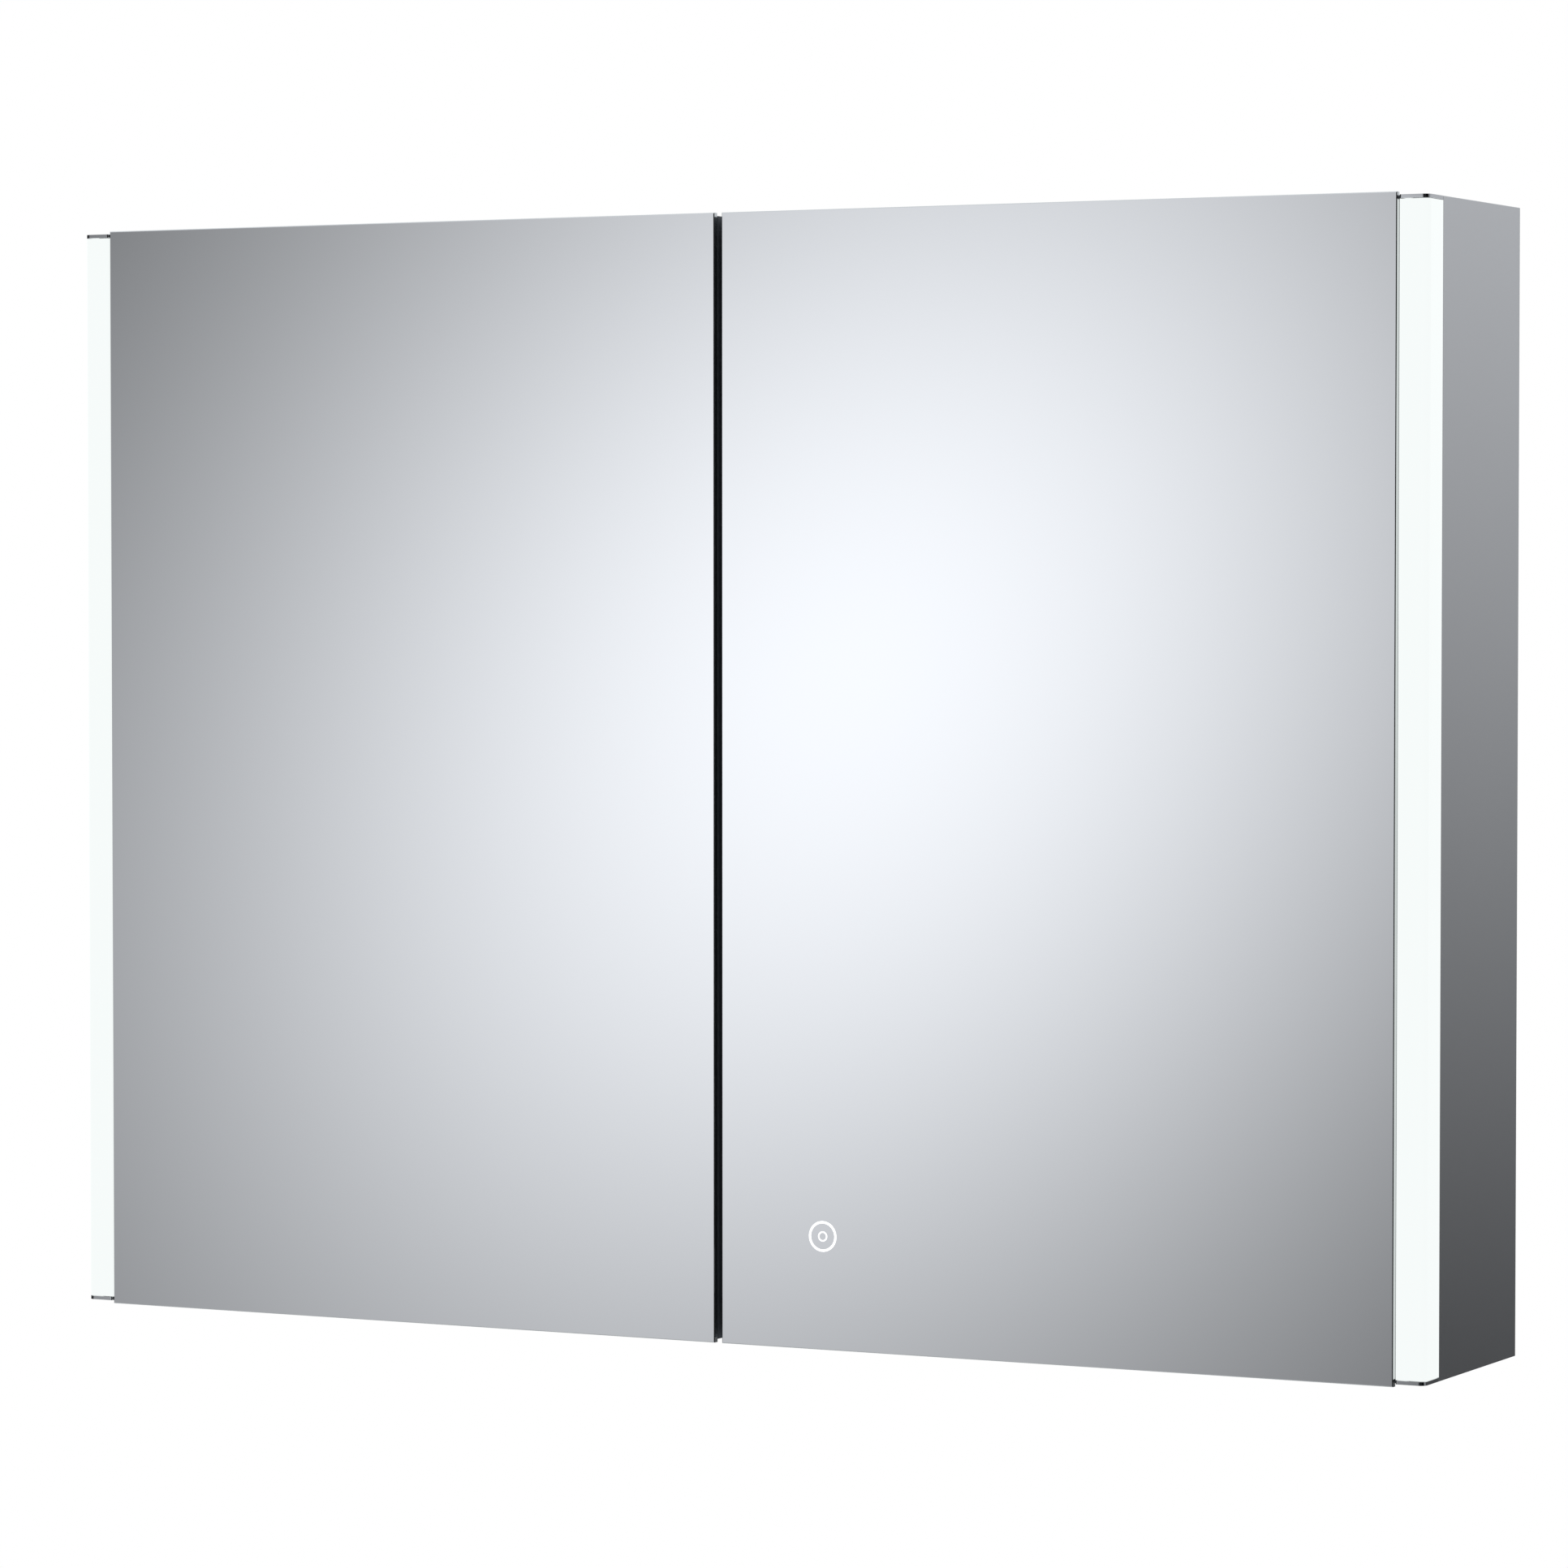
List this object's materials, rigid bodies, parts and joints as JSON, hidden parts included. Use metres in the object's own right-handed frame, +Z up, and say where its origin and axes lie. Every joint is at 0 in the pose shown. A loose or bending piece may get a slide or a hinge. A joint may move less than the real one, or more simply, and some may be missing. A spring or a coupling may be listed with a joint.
{
  "type": "medicine cabinet with mirror",
  "caption": "Wall-hung mirror cabinet with double mirror doors on concealed hinges, glass shelves and milky lit posts along both front corners.",
  "frame": {"origin": "centre of the back face that lies against the wall", "axes": "+X to the right, +Y into the wall, +Z up"},
  "size_m": [0.8, 0.132, 0.6],
  "materials": {
    "satin_metal": "satin brushed, anodised grey",
    "polished_metal": "polished",
    "mirror": "silvered glass with polished edges",
    "door_board": "dark grey lacquered moisture-resistant board",
    "diffuser": "milky diffusing plastic, lit from inside",
    "aluminium": "extruded, natural anodised",
    "led": "white circuit strip",
    "shelf_glass": "clear float glass with polished edges",
    "hinge_steel": "nickel plated, slightly brushed",
    "white_plastic": "moulded",
    "dark_plastic": "moulded"
  },
  "bodies": {
    "cabinet": {"top_panel": "satin_metal", "bottom_panel": "satin_metal", "inner_wall_right": "satin_metal", "side_panel_right": "satin_metal", "inner_wall_left": "satin_metal", "side_panel_left": "satin_metal", "back_panel": "satin_metal", "diffuser_right": "diffuser", "light_channel_right": "aluminium", "led_strip_right": "led", "end_cap_upper_right": "polished_metal", "end_cap_lower_right": "polished_metal", "diffuser_left": "diffuser", "light_channel_left": "aluminium", "led_strip_left": "led", "end_cap_upper_left": "polished_metal", "end_cap_lower_left": "polished_metal", "shelf_upper": "shelf_glass", "shelf_pin_upper_front_right": "hinge_steel", "shelf_pin_upper_front_left": "hinge_steel", "shelf_pin_upper_rear_right": "hinge_steel", "shelf_pin_upper_rear_left": "hinge_steel", "shelf_lower": "shelf_glass", "shelf_pin_lower_front_right": "hinge_steel", "shelf_pin_lower_front_left": "hinge_steel", "shelf_pin_lower_rear_right": "hinge_steel", "shelf_pin_lower_rear_left": "hinge_steel", "driver_cover": "satin_metal", "led_driver": "white_plastic", "cable_gland": "dark_plastic", "wall_rail": "aluminium", "hanging_rail": "aluminium", "hinge_plate_upper_right": "hinge_steel", "hinge_arm_upper_right": "hinge_steel", "hinge_plate_lower_right": "hinge_steel", "hinge_arm_lower_right": "hinge_steel", "hinge_plate_upper_left": "hinge_steel", "hinge_arm_upper_left": "hinge_steel", "hinge_plate_lower_left": "hinge_steel", "hinge_arm_lower_left": "hinge_steel"},
    "links_right": {"hinge_link_upper_right": "hinge_steel", "hinge_link_lower_right": "hinge_steel"},
    "links_left": {"hinge_link_upper_left": "hinge_steel", "hinge_link_lower_left": "hinge_steel"},
    "door_right": {"front_mirror_right": "mirror", "door_board_right": "door_board", "back_mirror_right": "mirror", "door_bumper_right": "white_plastic", "hinge_cup_upper_right": "hinge_steel", "hinge_cup_lower_right": "hinge_steel", "touch_sensor": "dark_plastic"},
    "door_left": {"front_mirror_left": "mirror", "door_board_left": "door_board", "back_mirror_left": "mirror", "door_bumper_left": "white_plastic", "hinge_cup_upper_left": "hinge_steel", "hinge_cup_lower_left": "hinge_steel"}
  },
  "joints": [
    {"name": "arm_pivot_right", "type": "hinge", "parent": "cabinet", "child": "links_right", "pos_m": [0.35, -0.104, 0], "axis": [0, 0, 1], "range_deg": [-49, 0]},
    {"name": "cup_pivot_right", "type": "hinge", "parent": "links_right", "child": "door_right", "pos_m": [0.369, -0.1206, 0], "axis": [0, 0, 1], "range_deg": [0, 147]},
    {"name": "arm_pivot_left", "type": "hinge", "parent": "cabinet", "child": "links_left", "pos_m": [-0.35, -0.104, 0], "axis": [0, 0, -1], "range_deg": [-49, 0]},
    {"name": "cup_pivot_left", "type": "hinge", "parent": "links_left", "child": "door_left", "pos_m": [-0.369, -0.1206, 0], "axis": [0, 0, -1], "range_deg": [0, 147]}
  ],
  "couplings": [
    {"joint": "arm_pivot_right", "follows": "cup_pivot_right", "ratio": -0.33333},
    {"joint": "arm_pivot_left", "follows": "cup_pivot_left", "ratio": -0.33333}
  ]
}
